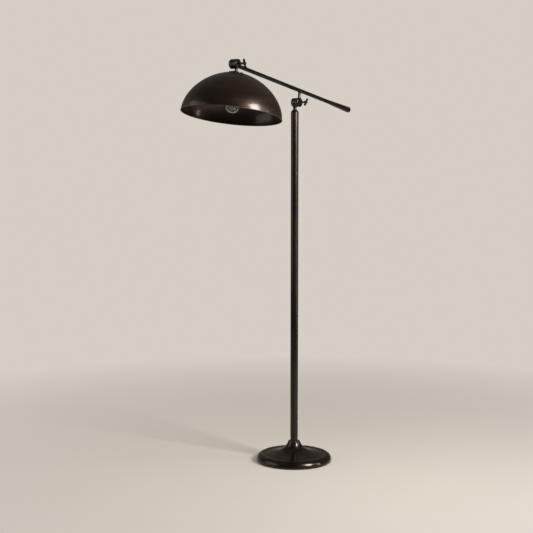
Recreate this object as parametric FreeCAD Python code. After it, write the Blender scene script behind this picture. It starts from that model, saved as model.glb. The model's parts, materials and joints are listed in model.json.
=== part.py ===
"""Bridge floor lamp: a weighted bell base, a straight pole, a tilting arm with a tapered
counterweight, and a spun dome shade that tilts on the arm's head.

Millimetres. The origin is on the floor, under the pole's axis, and +Z is up. The arm runs
along X: the shade is at -X and the counterweight at +X. Both tilting knuckles turn about Y,
and their wing screws point to -Y. The model is in the pose of the photograph.
"""

import FreeCAD, Part

import math
import os

Vector = FreeCAD.Vector

# Clearances
GAP = 0.15             # between fitted pieces that stay still
RUNNING = 0.05         # radial, a shaft that turns in its own hole
FREE = 0.4             # radial, a screw that passes through a turning disc

# Weighted base
base_diameter = 314.0
base_height = 86.0
shell_wall = 1.2
shell_foot = 1.5       # lower edge of the shell above the floor
shell_tuck = 2.0       # lower edge drawn in from the widest line
tuck_height = 3.5
rim_round = 15.0       # radius of the base's outer shoulder
rim_height = 32.5      # crest of the shoulder
groove_depth = 3.0     # the dish starts this far under the crest
groove_run = 9.0       # and this far inside it
bell_top_diameter = 48.5
pad_thickness = 3.0
pad_inset = 7.0        # pad's edge inside the base's edge
pad_window = 46.0      # hole in the pad, for the nut
weight_plate_thick = 12.0
weight_inset = 6.0     # cast weight's edge inside the base's edge
weight_lift = 0.15     # weight above the pad
hub_foot_diameter = 80.0
hub_top_diameter = 42.0
hub_top = 66.0
nut_recess_depth = 10.0
cord_channel = 9.0     # width of the channel for the cord, in the weight

# Cord inlet, on the side away from the shade
inlet_height = 12.5
inlet_bore = 7.0
bush_body = 11.0
bush_flange = 14.0
bush_flange_thick = 2.0
bush_depth = 5.0

# Pole and what ties it to the base
pole_diameter = 31.5
pole_wall = 1.5
pole_seat = 46.0       # height at which the pole stands in the weight's hub
plug_length = 26.0
nipple_diameter = 10.0
nipple_bore = 6.5
nipple_in_plug = 16.0
base_nut_flats = 17.0
base_nut_thick = 6.0
base_washer_diameter = 34.0
base_washer_thick = 2.0

# Pole cap and swivel
pivot_height = 1483.0  # axis of the lower knuckle
cap_drop = 39.0        # pole's top end under that axis
cap_cone_height = 9.7
cap_top_diameter = 18.0
cap_spigot = 22.0
neck_diameter = 14.0
swivel_stem_diameter = 10.0
swivel_washer_thick = 0.8
swivel_nut_flats = 15.0
swivel_nut_thick = 6.0
spring_washer_thick = 1.2
stem_tail = 3.0        # stem below its nut

# Knuckles
disc_diameter = 36.5
disc_thickness = 18.0
disc_round = 3.2       # rounded outer edge
disc_break = 0.8       # small edge at the meeting faces
disc_spot = 16.0       # flat spot under the screw's shoulder
disc_crown = 0.7       # how far the outer face falls away from that spot
friction_washer_thick = 1.0
friction_washer_diameter = 31.0

# Wing screws
screw_diameter = 6.0
screw_engagement = 14.0
shoulder_diameter = 12.5
shoulder_thick = 2.4
shank_diameter = 5.4
shank_length = 17.5
hub_diameter = 9.0
hub_length = 12.5
wing_span = 36.0
wing_thick = 2.8
wing_web = 6.0
wing_tip_radius = 4.4
tilt_screw_clock = 36.0    # how far the wings stand from upright, towards the counterweight
shade_screw_clock = -30.0

# Arm
arm_tilt = 10.0        # the shade end stands this far above level
arm_diameter = 15.5
arm_wall = 1.2
post_height = 48.5     # knuckle's axis to the arm's axis
post_diameter = 11.5
post_tenon_diameter = 8.0
post_tenon = 7.0
post_flare = 2.2       # how much wider the post is where it meets the arm
post_flare_height = 9.0
saddle_drop = 2.8      # post's upper edge under the arm's axis
wire_bore = 4.5
head_reach = 440.0     # post to the head's knuckle
tail_reach = 373.0     # post to the counterweight's end
ferrule_diameter = 17.8
ferrule_reach = 31.0   # head's axis to the ferrule's mouth
ferrule_depth = 11.0
weight_length = 171.0
weight_diameter = 24.4
weight_round = 8.5
weight_spigot = 24.0

# Shade
shade_tilt = 0.0       # against the arm's own square
shade_diameter = 380.0
shade_height = 162.0   # of the full dome, before its top is pressed flat
shade_power = 1.8      # 2 is an ellipse, less is more pointed
shade_wall = 0.9
shade_hem = 1.5        # radius of the rolled edge
shade_seat_diameter = 44.0
shade_drop = 36.0      # head's axis to the flat seat
shade_post_diameter = 12.2
shade_cap_diameter = 57.0
shade_cap_thick = 3.2
shade_tenon_diameter = 10.0
lock_washer_diameter = 30.0
lock_washer_thick = 1.2
lock_nut_flats = 17.0
lock_nut_thick = 4.5

# Lamp holder
holder_cap_diameter = 33.0
holder_cap_height = 18.0
holder_cap_wall = 1.0
holder_body_diameter = 36.0
holder_body_height = 41.0
holder_floor = 12.0
holder_bore = 30.4
screw_shell_bore = 26.8
screw_shell_wall = 0.5
screw_shell_height = 24.0
contact_width = 6.0
contact_thick = 0.6
contact_rise = 2.2

# Bulb
bulb_diameter = 60.0
bulb_length = 110.0
bulb_cap_diameter = 26.0
bulb_cap_length = 25.0
bulb_tip_length = 4.0
bulb_neck_diameter = 25.0
bulb_neck_start = 58.0  # straight neck's end above the globe's centre
bulb_glass_wall = 0.9
mount_length = 34.0
mount_diameter = 7.0
filament_count = 4
filament_length = 34.0
filament_diameter = 2.0
filament_top_circle = 6.0
filament_low_circle = 17.0
filament_wire = 0.9

# Worked out from the sizes above
Z = Vector(0, 0, 1)
base_radius = base_diameter / 2
pole_radius = pole_diameter / 2
pole_bore = pole_diameter - 2 * pole_wall
pole_top = pivot_height - cap_drop
disc_pitch = disc_thickness + friction_washer_thick
half_disc = disc_thickness / 2
arm_bore = arm_diameter - 2 * arm_wall
shade_radius = shade_diameter / 2


# Drawing helpers

def point(r, z):
    return Vector(r, 0, z)


def drawn(start, *steps):
    """Edges from start: a pair is the end of a line, two pairs are an arc's middle and end,
    and a list of pairs is a smooth curve through them."""
    here, edges = point(*start), []
    for step in steps:
        if isinstance(step, list):
            ends = [here] + [point(*p) for p in step]
            curve = Part.BSplineCurve()
            curve.interpolate(ends)
            edges.append(curve.toShape())
        elif isinstance(step[0], tuple):
            ends = [here, point(*step[0]), point(*step[1])]
            edges.append(Part.Arc(*ends).toShape())
        else:
            ends = [here, point(*step)]
            edges.append(Part.LineSegment(*ends).toShape())
        here = ends[-1]
    return edges


def spun(edges):
    """Closed outline turned round the Z axis."""
    return Part.Face(Part.Wire(edges)).revolve(Vector(), Z, 360)


def turned(start, *steps):
    """Solid of revolution whose outline closes back to its start."""
    return spun(drawn(start, *steps, start))


def rod(diameter, low, high):
    return Part.makeCylinder(diameter / 2, high - low, point(0, low))


def tube(diameter, bore, low, high):
    return rod(diameter, low, high).cut(rod(bore, low - 1, high + 1))


def hexagon(flats, bore, low, high):
    """Hexagon nut with chamfered corners."""
    corner = flats / math.sqrt(3)
    ends = [Vector(corner * math.cos(math.radians(60 * k)),
                   corner * math.sin(math.radians(60 * k)), low) for k in range(7)]
    prism = Part.Face(Part.makePolygon(ends)).extrude(Vector(0, 0, high - low))
    chamfer = corner - flats / 2
    blank = turned((0, low), (flats / 2, low), (corner, low + chamfer),
                   (corner, high - chamfer), (flats / 2, high), (0, high))
    return prism.common(blank).cut(rod(bore, low - 1, high + 1))


def corner_arc(r, z, radius, from_deg, to_deg):
    """Middle and end of an arc round the centre (r, z)."""
    places = [math.radians(a) for a in ((from_deg + to_deg) / 2, to_deg)]
    return tuple((r + radius * math.cos(a), z + radius * math.sin(a)) for a in places)


# Frames: where a group of pieces stands in the lamp

def at_knuckle(shape):
    """From a frame whose +Z is a knuckle's outward axis to one whose +Z is up."""
    shape = shape.copy()
    shape.rotate(Vector(), Vector(1, 0, 0), 90)
    return shape


def along_arm(shape):
    """From a frame whose +Z runs down the arm to the counterweight."""
    shape = shape.copy()
    shape.rotate(Vector(), Vector(0, 1, 0), 90)
    shape.translate(Vector(0, -disc_pitch, post_height))
    return shape


def in_arm(shape):
    """From the level arm's frame, at the lower knuckle's axis, to the lamp."""
    shape = shape.copy()
    shape.rotate(Vector(), Vector(0, 1, 0), arm_tilt)
    shape.translate(Vector(0, 0, pivot_height))
    return shape


def in_head(shape):
    """From the shade's frame, at the head's knuckle, to the lamp."""
    shape = shape.copy()
    shape.rotate(Vector(), Vector(0, 1, 0), shade_tilt)
    shape.translate(Vector(-head_reach, -disc_pitch, post_height))
    return in_arm(shape)


def in_shade(shape):
    """From the shade's own axis to the lamp."""
    shape = shape.copy()
    shape.translate(Vector(0, -disc_pitch, 0))
    return in_head(shape)


# Base

def parallel(points, depth):
    """Points moved this far to the inner side of the line that they follow."""
    moved = []
    for k, (r, z) in enumerate(points):
        (r0, z0), (r1, z1) = points[max(k - 1, 0)], points[min(k + 1, len(points) - 1)]
        length = math.hypot(r1 - r0, z1 - z0)
        moved.append((r - depth * (z1 - z0) / length, z + depth * (r1 - r0) / length))
    return moved


def base_line(depth):
    """Line of the base shell this deep under its surface, from its foot to the bell's top."""
    crest = base_radius - rim_round
    shoulder = rim_height - rim_round
    inner, low = crest - groove_run, rim_height - groove_depth
    run, rise = inner - bell_top_diameter / 2, base_height - low
    dish = [(inner - run * a, low + rise * b) for a, b in
            ((0, 0), (0.30, 0.06), (0.56, 0.18), (0.78, 0.36), (0.89, 0.56), (0.955, 0.78), (1, 1))]
    dish = parallel(dish, depth)
    start, dish[-1] = dish[0], (dish[-1][0], base_height)
    side = base_radius - depth
    bend = shell_foot + tuck_height
    return ((side - shell_tuck, shell_foot),
            ((side - shell_tuck * 0.35, shell_foot + tuck_height * 0.45), (side, bend)),
            (side, shoulder), corner_arc(crest, shoulder, rim_round - depth, 0, 90),
            (((crest + start[0]) / 2, (rim_height - depth + start[1]) / 2 - 0.35), start), dish[1:])


def strip(outer, inner):
    """Spun sheet between two lines that run the same way."""
    near, far = drawn(*outer), drawn(*inner)
    caps = [Part.LineSegment(near[k].Vertexes[k].Point, far[k].Vertexes[k].Point).toShape()
            for k in (0, -1)]
    return Part.Face(Part.Wire(Part.__sortEdges__([*near, *far, *caps]))).revolve(Vector(), Z, 360)


def inlet_cut(diameter, length):
    """Rod through the base's side wall where the cord comes in."""
    return Part.makeCylinder(diameter / 2, length,
                             Vector(base_radius + 5, 0, inlet_height), Vector(-1, 0, 0))


def base_shell():
    skin = strip(base_line(0), base_line(shell_wall))
    lid = tube(bell_top_diameter - 0.2, pole_diameter + 2 * GAP, base_height - shell_wall, base_height)
    return skin.fuse(lid).removeSplitter().cut(inlet_cut(bush_body + 2 * GAP, 15))


def base_weight():
    """Cast plate with a hub that the pole stands in."""
    low = pad_thickness + weight_lift
    top = low + weight_plate_thick
    r, hub, neck = base_radius - weight_inset, hub_foot_diameter / 2, hub_top_diameter / 2
    body = turned((0, low), (r, low), (r, top - 3), (r - 3, top), (hub + 8, top),
                  ((hub + 1.5, top + 2.5), (hub - 4, top + 10)), (neck, hub_top), (0, hub_top))
    hole = rod(pole_diameter + 2 * GAP, pole_seat, hub_top + 1)
    recess = rod(base_washer_diameter + 4, low - 1, low + nut_recess_depth)
    bolt = rod(nipple_diameter + 2 * GAP, low, pole_seat + 1)
    channel = Part.makeBox(base_radius, cord_channel, 8, Vector(0, -cord_channel / 2, low - 1))
    return body.cut(hole).cut(recess).cut(bolt).cut(channel).cut(inlet_cut(bush_body + 4, 22))


def floor_pad():
    return tube(base_diameter - 2 * pad_inset, pad_window, 0, pad_thickness)


def cord_bush():
    """Plastic bush in the base's side wall, with a flared mouth."""
    flange, body, bore = bush_flange / 2, bush_body / 2, inlet_bore / 2
    mouth, edge = 1.2, 0.8
    bush = turned((bore, -bush_depth), (body, -bush_depth), (body, 0), (flange, 0),
                  (flange, bush_flange_thick - edge),
                  corner_arc(flange - edge, bush_flange_thick - edge, edge, 0, 90),
                  (bore + mouth, bush_flange_thick),
                  corner_arc(bore + mouth, bush_flange_thick - mouth, mouth, 90, 180))
    bush.rotate(Vector(), Vector(0, 1, 0), 90)
    bush.translate(Vector(base_radius + GAP, 0, inlet_height))
    return bush


def nut_seat():
    """Height of the recess's ceiling in the weight."""
    return pad_thickness + weight_lift + nut_recess_depth


def base_washer():
    top = nut_seat()
    return tube(base_washer_diameter, nipple_diameter + 2 * GAP, top - base_washer_thick, top)


def base_nut():
    top = nut_seat() - base_washer_thick
    return hexagon(base_nut_flats, nipple_diameter + 2 * GAP, top - base_nut_thick, top)


def base_nipple():
    low = nut_seat() - base_washer_thick - base_nut_thick - 1.5
    return tube(nipple_diameter, nipple_bore, low, pole_seat + nipple_in_plug)


# Pole

def pole_plug():
    return tube(pole_bore - 2 * GAP, nipple_diameter + 2 * GAP, pole_seat, pole_seat + plug_length)


def pole_tube():
    return tube(pole_diameter, pole_bore, pole_seat, pole_top)


def pole_cap():
    bore = swivel_stem_diameter / 2 + RUNNING
    spigot = pole_bore / 2 - GAP
    top = pole_top + cap_cone_height
    edge = 1.0
    return turned((bore, pole_top - cap_spigot), (spigot, pole_top - cap_spigot),
                  (spigot, pole_top), (pole_radius, pole_top), (pole_radius, pole_top + edge),
                  ((pole_radius - 2.6, pole_top + edge + 3.6), (cap_top_diameter / 2, top)),
                  (bore, top))


def swivel_washer():
    low = pole_top + cap_cone_height
    return tube(cap_top_diameter - 2, swivel_stem_diameter + 2 * GAP, low, low + swivel_washer_thick)


# Knuckles

def knuckle_disc(low, high, free_side):
    """Disc on the knuckle's axis: flat where it meets the other, rounded and coned outside.
    free_side is +1 or -1, the end of the axis that its outer face looks to."""
    radius, spot = disc_diameter / 2, disc_spot / 2
    span = high - low
    fall = span - disc_crown
    shape = turned((0, 0), (radius - disc_break, 0), (radius, disc_break), (radius, fall - disc_round),
                   corner_arc(radius - disc_round, fall - disc_round, disc_round, 0, 90),
                   (spot, span), (0, span))
    if free_side < 0:
        shape.rotate(Vector(), Vector(1, 0, 0), 180)
        shape.translate(Vector(0, 0, high))
    else:
        shape.translate(Vector(0, 0, low))
    return shape


def inner_disc():
    """Disc that the screw threads into. Its tapped hole is blind."""
    disc = knuckle_disc(-half_disc, half_disc, -1)
    depth = screw_engagement + 1
    return disc.cut(rod(screw_diameter + 2 * RUNNING, half_disc - depth, half_disc + 1))


def swivel_knuckle():
    """Fixed half of the lower knuckle, with the neck and the stem that turns in the cap."""
    disc = at_knuckle(inner_disc())
    shoulder = -cap_drop + cap_cone_height + swivel_washer_thick
    tail = shoulder - swivel_washer_thick - cap_cone_height - cap_spigot
    tail -= spring_washer_thick + swivel_nut_thick + stem_tail
    neck, wide, stem = neck_diameter / 2, neck_diameter / 2 + 1.6, swivel_stem_diameter / 2
    inner = disc_diameter / 2 - 6
    post = turned((0, tail), (stem, tail), (stem, shoulder), (neck, shoulder),
                  (neck, -disc_diameter / 2 - 3), (wide, -disc_diameter / 2 + 0.6), (wide, -inner),
                  (0, -inner))
    return disc.fuse(post).removeSplitter()


def to_pivot(shape):
    shape = shape.copy()
    shape.translate(Vector(0, 0, pivot_height))
    return shape


def under_cap(level):
    """Height under the pole cap's lower face."""
    return pole_top - cap_spigot - level


def swivel_spring():
    return tube(cap_top_diameter, swivel_stem_diameter + 2 * GAP, under_cap(spring_washer_thick),
                under_cap(0) - GAP)


def swivel_nut():
    top = under_cap(spring_washer_thick)
    return hexagon(swivel_nut_flats, swivel_stem_diameter + 2 * GAP, top - swivel_nut_thick, top)


def friction_washer():
    """Washer between two discs, on the inner disc's face."""
    return tube(friction_washer_diameter, screw_diameter + 2 * FREE, half_disc + 0.02,
                half_disc + friction_washer_thick - 0.02)


def outer_disc():
    """Disc that carries a post and turns on the screw."""
    low = half_disc + friction_washer_thick
    high = low + disc_thickness
    return knuckle_disc(low, high, 1).cut(rod(screw_diameter + 2 * FREE, low - 1, high + 1))


def wing(side):
    """One wing of a screw, in the frame of the knuckle's axis."""
    root = shank_start() + shank_length
    reach = wing_span / 2 - wing_tip_radius
    half = wing_thick / 2
    middle = root + hub_length * 0.52
    web = Part.makeBox(wing_thick, reach, wing_web,
                       Vector(-half, 0 if side > 0 else -reach, middle - wing_web / 2))
    tip = Part.makeCylinder(wing_tip_radius, wing_thick + 0.8,
                            Vector(-half - 0.4, side * reach, middle + 0.8), Vector(1, 0, 0))
    tip = tip.makeFillet(0.7, [e for e in tip.Edges if isinstance(e.Curve, Part.Circle)])
    return web.fuse(tip)


def shank_start():
    return half_disc + friction_washer_thick + disc_thickness + spring_washer_thick + shoulder_thick


def wing_screw(clock):
    face = shank_start() - shoulder_thick
    thread, shoulder, shank = screw_diameter / 2, shoulder_diameter / 2, shank_diameter / 2
    hub = shank_start() + shank_length
    end, hub_r, round_off = hub + hub_length, hub_diameter / 2, 2.2
    stalk = turned((0, half_disc - screw_engagement), (thread - 1, half_disc - screw_engagement),
                   (thread, half_disc - screw_engagement + 1), (thread, face), (shoulder, face),
                   (shoulder, face + shoulder_thick * 0.45), (shank + 1.2, shank_start()),
                   (shank, shank_start() + 1.6), (shank, hub - 1.5), (hub_r, hub),
                   (hub_r, end - round_off),
                   corner_arc(hub_r - round_off, end - round_off, round_off, 0, 90), (0, end))
    screw = stalk.fuse(wing(1)).fuse(wing(-1)).removeSplitter()
    screw.rotate(Vector(), Z, -clock)
    return screw


def screw_washer():
    low = half_disc + friction_washer_thick + disc_thickness
    return tube(shoulder_diameter + 1.5, screw_diameter + 2 * GAP, low + 0.02,
                low + spring_washer_thick - 0.02)


# Arm

def arm_disc():
    disc = outer_disc()
    hole = Part.makeCylinder(post_tenon_diameter / 2 + GAP, post_tenon + GAP,
                             Vector(0, disc_diameter / 2 - post_tenon - GAP, disc_pitch),
                             Vector(0, 1, 0))
    spot = Part.makeCylinder(post_diameter / 2 + 1, 3, Vector(0, disc_diameter / 2 - 1, disc_pitch),
                             Vector(0, 1, 0))
    return at_knuckle(disc.cut(hole).cut(spot))


def post(top, width, tenon_width, flare):
    """Turned post that stands on a disc's rim, up to height top."""
    foot = disc_diameter / 2 - 1
    tenon, body = tenon_width / 2, width / 2
    low = foot + 1 - post_tenon
    return turned((wire_bore / 2, low), (tenon, low), (tenon, foot), (body, foot),
                  (body, top - post_flare_height), (body + flare, top), (wire_bore / 2, top))


def arm_post():
    """Post between the lower knuckle and the arm, coped to the arm's tube."""
    shape = post(post_height - saddle_drop, post_diameter, post_tenon_diameter, post_flare)
    shape.translate(Vector(0, -disc_pitch, 0))
    return shape.cut(along_arm(rod(arm_diameter + 2 * GAP, -40, 40)))


def arm_tube():
    shape = along_arm(tube(arm_diameter, arm_bore, -head_reach + ferrule_reach - ferrule_depth,
                           tail_reach - weight_length))
    wire_hole = Part.makeCylinder(wire_bore / 2, arm_diameter / 2,
                                  Vector(0, -disc_pitch, post_height - arm_diameter / 2 - 1))
    return shape.cut(wire_hole)


def counterweight():
    start, end = tail_reach - weight_length, tail_reach
    spigot, thin, thick = arm_bore / 2 - GAP, arm_diameter / 2, weight_diameter / 2
    shape = turned((0, start - weight_spigot), (spigot - 0.8, start - weight_spigot),
                   (spigot, start - weight_spigot + 0.8), (spigot, start), (thin, start),
                   (thick, end - weight_round),
                   corner_arc(thick - weight_round, end - weight_round, weight_round, 0, 90),
                   (0, end))
    return along_arm(shape)


def head_disc():
    """Inner half of the head's knuckle, with the ferrule that holds the arm's tube."""
    disc = at_knuckle(inner_disc())
    outer, rim = ferrule_diameter / 2, disc_diameter / 2
    waist, mouth = outer - 1.2, 0.6
    ferrule = turned((0, rim / 2 + 1), (waist, rim / 2 + 1), (waist, rim + 0.2), (outer, rim + 1.4),
                     (outer, ferrule_reach - mouth), (outer - mouth, ferrule_reach),
                     (0, ferrule_reach))
    socket = rod(arm_diameter + 2 * GAP, ferrule_reach - ferrule_depth, ferrule_reach + 1)
    for shape in (ferrule, socket):
        shape.rotate(Vector(), Vector(0, 1, 0), 90)
    joined = disc.fuse(ferrule).removeSplitter().cut(socket)
    joined.translate(Vector(-head_reach, -disc_pitch, post_height))
    return joined


# Shade. Its own frame has the head's axis at the origin and opens towards -Z.

def dome_fall(r):
    """How far a superellipse of the dome's size has fallen at radius r."""
    return shade_height * (1 - (1 - (r / shade_radius) ** shade_power) ** (1 / shade_power))


def rim_level():
    return -shade_drop - shade_height + dome_fall(shade_seat_diameter / 2)


def shade_line(depth):
    """Line of the dome this deep under its surface, from its flat seat to the rim."""
    seat = shade_seat_diameter / 2
    first = math.asin((seat / shade_radius) ** (shade_power / 2))
    steps = 9
    curve = []
    for k in range(steps + 1):
        angle = first + (math.pi / 2 - first) * k / steps
        r = shade_radius * math.sin(angle) ** (2 / shade_power)
        lift = shade_height * max(math.cos(angle), 0) ** (2 / shade_power)
        curve.append((r, rim_level() + lift))
    curve = parallel(curve[::-1], depth)[::-1]
    curve[0] = (curve[0][0], -shade_drop - depth)
    curve[-1] = (shade_radius - depth, rim_level())
    return (shade_tenon_diameter / 2 + GAP, -shade_drop - depth), curve[0], curve[1:]


def shade_dome():
    dome = strip(shade_line(0), shade_line(shade_wall))
    hem = Part.makeTorus(shade_radius - shade_wall / 2, shade_hem, point(0, rim_level()))
    return dome.fuse(hem).removeSplitter()


def shade_disc():
    disc = outer_disc()
    hole = Part.makeCylinder(post_tenon_diameter / 2 + GAP, post_tenon + GAP,
                             Vector(0, -disc_diameter / 2 + post_tenon + GAP, disc_pitch),
                             Vector(0, -1, 0))
    spot = Part.makeCylinder(shade_post_diameter / 2 + 1, 3,
                             Vector(0, -disc_diameter / 2 + 1, disc_pitch), Vector(0, -1, 0))
    return at_knuckle(disc.cut(hole).cut(spot))


def tenon_end():
    return -shade_drop - shade_wall - lock_washer_thick - lock_nut_thick - holder_cap_wall - 2


def shade_post():
    """Hollow post under the head's knuckle. Its tenon holds the cap, dome and lamp holder."""
    foot = disc_diameter / 2 - 1
    peg, body, tenon = post_tenon_diameter / 2, shade_post_diameter / 2, shade_tenon_diameter / 2
    bore = wire_bore / 2
    seat = -shade_drop + shade_cap_thick
    return turned((bore, -foot - 1 + post_tenon), (peg, -foot - 1 + post_tenon), (peg, -foot),
                  (body, -foot), (body, seat + 2), (body + 1.2, seat), (tenon, seat),
                  (tenon, tenon_end()), (bore, tenon_end()))


def shade_cap():
    edge = 1.2
    r, low = shade_cap_diameter / 2, -shade_drop
    high = low + shade_cap_thick
    bore = shade_tenon_diameter / 2 + GAP
    return turned((bore, low), (r, low), (r, high - edge - 0.6),
                  corner_arc(r - edge, high - edge - 0.6, edge, 0, 90),
                  (shade_post_diameter / 2 + 3, high), (bore, high))


def lock_washer():
    top = -shade_drop - shade_wall
    return tube(lock_washer_diameter, shade_tenon_diameter + 2 * GAP, top - lock_washer_thick, top)


def lock_nut():
    top = -shade_drop - shade_wall - lock_washer_thick
    return hexagon(lock_nut_flats, shade_tenon_diameter + 2 * GAP, top - lock_nut_thick, top)


def holder_top():
    return -shade_drop - shade_wall - lock_washer_thick - lock_nut_thick


def holder_cap():
    """Pressed brass cup that screws on the tenon, under the lock nut."""
    r, wall, top = holder_cap_diameter / 2, holder_cap_wall, holder_top()
    low, bore = top - holder_cap_height, shade_tenon_diameter / 2 + GAP
    curve = 5.0
    return turned((bore, top), (r - curve, top), corner_arc(r - curve, top - curve, curve, 90, 0),
                  (r, low), (r - wall, low), (r - wall, top - curve),
                  corner_arc(r - curve, top - curve, curve - wall, 0, 90), (bore, top - wall))


def holder_body():
    """Moulded lamp holder with a deep skirt round the bulb's cap."""
    r, bore = holder_body_diameter / 2, holder_bore / 2
    top = holder_top() - holder_cap_height
    low, floor = top - holder_body_height, top - holder_floor
    spigot, lift, edge = holder_cap_diameter / 2 - holder_cap_wall - GAP, 6.0, 1.5
    groove = 1.2
    middle = top - holder_body_height * 0.45
    return turned((0, top + lift), (spigot, top + lift), (spigot, top), (r - edge, top), (r, top - edge),
                  (r, middle + groove), (r - groove, middle), (r, middle - groove),
                  (r, low + edge), (r - edge, low), (bore, low), (bore, floor), (0, floor))


def holder_floor_level():
    return holder_top() - holder_cap_height - holder_floor


def screw_shell():
    """Contact shell that the bulb screws into, with a turned-out lower edge."""
    top = holder_floor_level() - 0.1
    low = top - screw_shell_height
    inner, lip = screw_shell_bore / 2, 0.8
    outer = inner + screw_shell_wall
    return turned((inner, top), (outer, top), (outer, low + lip), (outer + lip, low), (inner + lip, low),
                  (inner, low + lip))


def centre_contact():
    top = holder_floor_level()
    base = Part.makeBox(contact_width, 2 * contact_width, contact_thick,
                        Vector(-contact_width / 2, -contact_width, top - contact_thick))
    lip = Part.makeBox(contact_width, contact_width * 1.2, contact_thick,
                       Vector(-contact_width / 2, 0, 0))
    lip.rotate(Vector(), Vector(1, 0, 0), -math.degrees(math.atan(contact_rise / contact_width)) * 0.8)
    lip.translate(Vector(0, -contact_width, top - contact_thick))
    return base.fuse(lip).removeSplitter()


# Bulb, hanging cap up from the holder

def bulb_top():
    return holder_floor_level() - contact_thick - contact_rise - 0.5


def globe_centre():
    return bulb_top() - bulb_length + bulb_diameter / 2


def bulb_cap():
    """Screw cap with a solder tip on its insulator."""
    r, top = bulb_cap_diameter / 2, bulb_top()
    shoulder = top - bulb_tip_length
    low = top - bulb_cap_length
    return turned((0, top), (4.5, top - 0.8), (5.0, top - 1.6), (r - 4, shoulder + 0.6),
                  (r - 1.6, shoulder), (r, shoulder - 1.6), (r, low + 0.6), (r - 0.4, low), (0, low))


def glass_line(inset):
    """Outer or inner line of the glass, from the tip up to the cap."""
    globe = bulb_diameter / 2 - inset
    neck = bulb_neck_diameter / 2 - inset
    rise = bulb_neck_start - bulb_cap_length + 18
    rise = min(rise, bulb_length - bulb_diameter / 2 - bulb_cap_length - 1)
    cove = (neck ** 2 + rise ** 2 - globe ** 2) / (2 * (globe - neck))
    lean = math.atan2(rise, neck + cove)
    touch = (globe * math.cos(lean), globe * math.sin(lean))
    mid = math.pi + lean / 2
    flank = (neck + cove + cove * math.cos(mid), rise + cove * math.sin(mid))
    low = (-math.pi / 2 + lean) / 2
    c = globe_centre()
    top = bulb_top() - bulb_cap_length
    return [(0, c - globe), ((globe * math.cos(low), c + globe * math.sin(low)),
                             (touch[0], c + touch[1])),
            ((flank[0], c + flank[1]), (neck, c + rise)), (neck, top)]


def bulb_glass():
    outer = glass_line(0)
    inner = glass_line(bulb_glass_wall)
    wire = drawn(*outer, (inner[-1]))
    back = [drawn(inner[0], *inner[1:])]
    edges = wire + back[0] + drawn(inner[0], outer[0])
    return Part.Face(Part.Wire(Part.__sortEdges__(edges))).revolve(Vector(), Z, 360)


def bulb_mount():
    """Glass stem inside the bulb, with the flare that closes the neck."""
    top = bulb_top() - bulb_cap_length - 0.3
    r, low = mount_diameter / 2, top - mount_length
    flare = bulb_neck_diameter / 2 - bulb_glass_wall - 0.6
    return turned((0, top), (flare, top), (flare - 1.0, top - 2.0),
                  ((r + 1.2, top - 8), (r, top - 16)), (r, low + 6), (r - 1.6, low), (0, low))


def filament_ends(k):
    turn = 2 * math.pi * (k + 0.5) / filament_count
    high = bulb_top() - bulb_cap_length - mount_length - 0.6
    low = high - filament_length
    across = Vector(math.cos(turn), math.sin(turn), 0)
    return across * (filament_top_circle / 2) + Z * high, across * (filament_low_circle / 2) + Z * low


def bulb_filaments():
    """Slanted glowing rods round a centre wire, tied by two small spiders."""
    shapes = []
    for k in range(filament_count):
        top, low = filament_ends(k)
        shapes.append(Part.makeCylinder(filament_diameter / 2, (low - top).Length, top, low - top))
        shapes.append(Part.makeCylinder(filament_wire / 2, math.hypot(low.x, low.y),
                                        Vector(0, 0, low.z + 0.4), Vector(low.x, low.y, 0)))
        shapes.append(Part.makeCylinder(filament_wire / 2, math.hypot(top.x, top.y),
                                        Vector(0, 0, top.z - 0.4), Vector(top.x, top.y, 0)))
    top, low = filament_ends(0)
    shapes.append(rod(filament_wire, low.z, top.z))
    return shapes[0].multiFuse(shapes[1:])


def parts():
    """Every sub-part by name, in the lamp's frame and pose."""
    screw_low = at_knuckle(wing_screw(tilt_screw_clock))
    screw_high = at_knuckle(wing_screw(shade_screw_clock))
    washer = at_knuckle(friction_washer())
    collar = at_knuckle(screw_washer())
    return {
        "floor_pad": floor_pad(),
        "base_shell": base_shell(),
        "base_weight": base_weight(),
        "cord_bush": cord_bush(),
        "base_washer": base_washer(),
        "base_nut": base_nut(),
        "base_nipple": base_nipple(),
        "pole_plug": pole_plug(),
        "pole_tube": pole_tube(),
        "pole_cap": pole_cap(),
        "swivel_washer": swivel_washer(),
        "swivel_knuckle": to_pivot(swivel_knuckle()),
        "swivel_spring_washer": swivel_spring(),
        "swivel_nut": swivel_nut(),
        "tilt_friction_washer": in_arm(washer),
        "arm_disc": in_arm(arm_disc()),
        "arm_post": in_arm(arm_post()),
        "arm_tube": in_arm(arm_tube()),
        "counterweight": in_arm(counterweight()),
        "head_disc": in_arm(head_disc()),
        "tilt_screw_washer": in_arm(collar),
        "tilt_wing_screw": to_pivot(screw_low),
        "shade_friction_washer": in_head(washer),
        "shade_disc": in_head(shade_disc()),
        "shade_screw_washer": in_head(collar),
        "shade_wing_screw": in_head(screw_high),
        "shade_post": in_shade(shade_post()),
        "shade_cap": in_shade(shade_cap()),
        "shade_dome": in_shade(shade_dome()),
        "shade_lock_washer": in_shade(lock_washer()),
        "shade_lock_nut": in_shade(lock_nut()),
        "holder_cap": in_shade(holder_cap()),
        "holder_body": in_shade(holder_body()),
        "holder_screw_shell": in_shade(screw_shell()),
        "holder_centre_contact": in_shade(centre_contact()),
        "bulb_cap": in_shade(bulb_cap()),
        "bulb_glass": in_shade(bulb_glass()),
        "bulb_mount": in_shade(bulb_mount()),
        "bulb_filaments": in_shade(bulb_filaments()),
    }


def main():
    os.makedirs("parts", exist_ok=True)
    for name, shape in parts().items():
        shape.exportStep(os.path.join("parts", name + ".step"))


main()
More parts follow.
